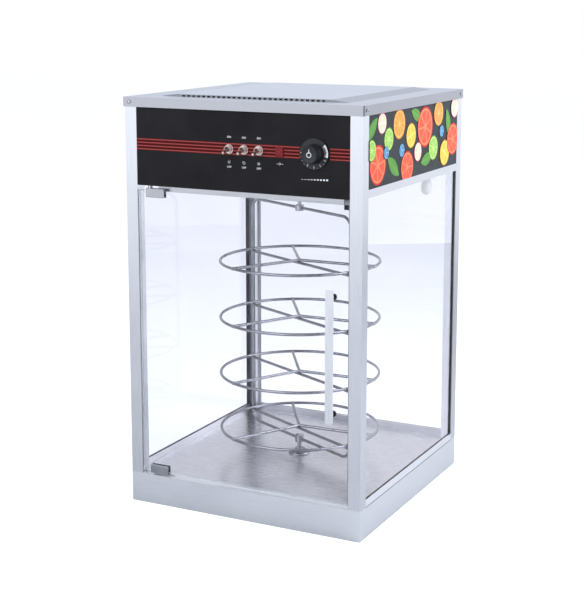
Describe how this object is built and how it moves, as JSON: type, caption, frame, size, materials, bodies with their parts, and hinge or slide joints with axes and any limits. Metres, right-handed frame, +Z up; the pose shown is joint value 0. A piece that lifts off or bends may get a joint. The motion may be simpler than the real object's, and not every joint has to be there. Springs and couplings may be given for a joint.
{
  "type": "pizza display case",
  "caption": "Countertop glass display warmer with a hinged glass door, a turning frame of round wire racks and a header of controls.",
  "frame": {"origin": "centre of the base's underside, on the surface that the case stands on", "axes": "+Z up, the door and the controls face -Y, +X to the right seen from the front"},
  "size_m": [0.5114, 0.5455, 0.814],
  "materials": {
    "steel": "fine brushed grain",
    "bright_steel": "bright drawn wire and turned parts",
    "clamp_metal": "polished cast clamps",
    "fascia_black": "gloss black with thin red lines",
    "print_panel": "printed sheet, dark slate ground",
    "clear_glass": "clear, faint blue tint",
    "seal_rubber": "matt black",
    "black_plastic": "fine moulded grain",
    "aluminium_strip": "satin anodised",
    "red_lens": "translucent red",
    "bulb_glass": "frosted",
    "socket_ceramic": "white ceramic",
    "switch_body": "dark red moulding",
    "bush_brass": "turned",
    "motor_can": "zinc plated",
    "element_sheath": "dark heat-treated sheath"
  },
  "bodies": {
    "cabinet": {"base_skirt": "steel", "base_bottom_cover": "steel", "floor_plate": "steel", "post_front_left": "steel", "post_front_right": "steel", "post_rear_left": "steel", "post_rear_right": "steel", "lower_channels": "steel", "upper_channels": "steel", "glass_gaskets": "seal_rubber", "glass_right": "clear_glass", "glass_rear": "clear_glass", "glass_left": "clear_glass", "side_panels": "print_panel", "rear_panel": "steel", "control_fascia": "fascia_black", "ceiling_pan": "steel", "door_stop_rail": "steel", "roof_cap": "steel", "vent_hood": "steel", "cap_screws": "bright_steel", "magnet_catch": "black_plastic", "switch_body_light": "switch_body", "switch_body_motor": "switch_body", "switch_body_heat": "switch_body", "switch_nuts": "bright_steel", "pilot_lens": "red_lens", "pilot_body": "black_plastic", "thermostat_body": "motor_can", "thermostat_sensor": "bright_steel", "lamp_socket": "socket_ceramic", "lamp_bulb": "bulb_glass", "bearing_flange": "bright_steel", "flange_bolts": "bright_steel", "motor_bracket": "steel", "gear_motor": "motor_can", "top_bush": "bush_brass", "heating_element": "element_sheath", "element_clamps": "steel", "cord_gland": "black_plastic"},
    "door": {"door_glass": "clear_glass", "hinge_clamps": "clamp_metal", "clamp_liners": "seal_rubber", "hinge_pins": "bright_steel", "handle_strip": "aluminium_strip", "handle_studs": "black_plastic", "strike_plate": "bright_steel"},
    "carousel": {"hoop_frame": "bright_steel", "rack_1": "bright_steel", "rack_2": "bright_steel", "rack_3": "bright_steel", "rack_4": "bright_steel", "drive_shaft": "bright_steel", "top_pin": "bright_steel"},
    "dial": {"dial_skirt": "black_plastic", "knob_grip": "black_plastic", "thermostat_spindle": "bright_steel"},
    "lever_light": {"switch_lever_light": "bright_steel"},
    "lever_motor": {"switch_lever_motor": "bright_steel"},
    "lever_heat": {"switch_lever_heat": "bright_steel"}
  },
  "joints": [
    {"name": "door_hinge", "type": "hinge", "parent": "cabinet", "child": "door", "pos_m": [-0.199, -0.2445, 0.35], "axis": [0, 0, -1], "range_deg": [0, 110]},
    {"name": "carousel_spin", "type": "hinge", "parent": "cabinet", "child": "carousel", "pos_m": [0, 0, 0.093], "axis": [0, 0, 1], "continuous": true},
    {"name": "thermostat_turn", "type": "hinge", "parent": "cabinet", "child": "dial", "pos_m": [0.155, -0.254, 0.72], "axis": [0, 1, 0], "range_deg": [0, 270]},
    {"name": "switch_light", "type": "hinge", "parent": "cabinet", "child": "lever_light", "pos_m": [-0.0215, -0.254, 0.72], "axis": [-1, 0, 0], "range_deg": [0, 30]},
    {"name": "switch_motor", "type": "hinge", "parent": "cabinet", "child": "lever_motor", "pos_m": [0.0097, -0.254, 0.72], "axis": [-1, 0, 0], "range_deg": [0, 30]},
    {"name": "switch_heat", "type": "hinge", "parent": "cabinet", "child": "lever_heat", "pos_m": [0.0409, -0.254, 0.72], "axis": [-1, 0, 0], "range_deg": [0, 30]}
  ]
}
